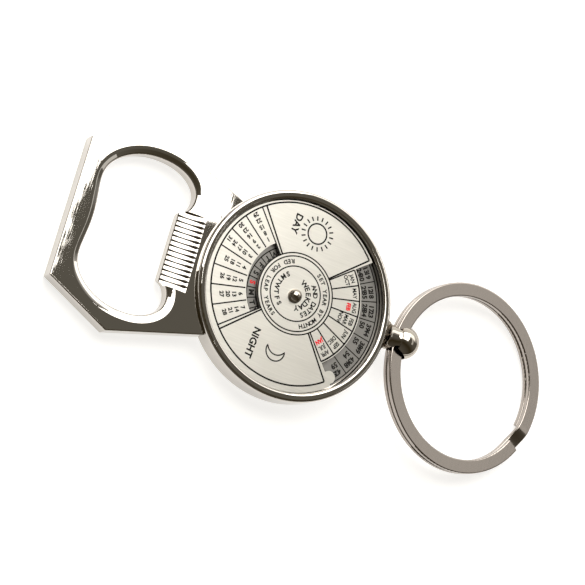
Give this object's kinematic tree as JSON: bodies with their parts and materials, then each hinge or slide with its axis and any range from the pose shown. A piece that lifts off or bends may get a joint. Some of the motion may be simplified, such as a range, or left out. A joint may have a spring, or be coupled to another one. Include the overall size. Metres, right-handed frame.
{
  "type": "perpetual calendar key ring with bottle opener",
  "caption": "Plated pocket key ring with a turning perpetual-calendar dial in a round case, a bottle-opener head, a swivelling ball link and a split ring.",
  "frame": {"origin": "on the dial's rivet axis, at the flat back face of the case", "axes": "+X from the dial towards the key ring, the opener head on the -X side; +Z out of the dial, at right angles to the back face"},
  "size_m": [0.0999, 0.038, 0.0094],
  "materials": {
    "plated_case": "zinc die casting, polished and nickel-chrome plated",
    "adhesive": "double-sided adhesive foam",
    "printed_disc": "matt grey sheet, screen printed in black and red",
    "nylon_washer": "natural nylon",
    "plain_steel": "turned steel",
    "brushed_plate": "satin-brushed sheet, screen printed in black and red",
    "plated_rivet": "polished and plated",
    "plated_link": "turned, polished and plated",
    "plated_ring": "nickel-plated spring steel"
  },
  "bodies": {
    "case": {"case_body": "plated_case", "adhesive_ring": "adhesive", "calendar_disc": "printed_disc", "friction_washer": "nylon_washer", "spacer_bush": "plain_steel", "centre_rivet": "plated_rivet", "swivel_collar": "plain_steel"},
    "dial": {"face_plate": "brushed_plate"},
    "swivel": {"swivel_pin": "plain_steel", "ball_link": "plated_link"},
    "ring": {"split_ring": "plated_ring"}
  },
  "joints": [
    {"name": "dial_turn", "type": "hinge", "parent": "case", "child": "dial", "pos_m": [0, 0, 0.003], "axis": [0, 0, 1], "continuous": true},
    {"name": "link_swivel", "type": "hinge", "parent": "case", "child": "swivel", "pos_m": [0.0193, 0, 0.00205], "axis": [1, 0, 0], "continuous": true},
    {"name": "ring_swing", "type": "hinge", "parent": "swivel", "child": "ring", "pos_m": [0.02225, 0, 0.00205], "axis": [0, 1, 0], "range_deg": [-144, 126]}
  ]
}
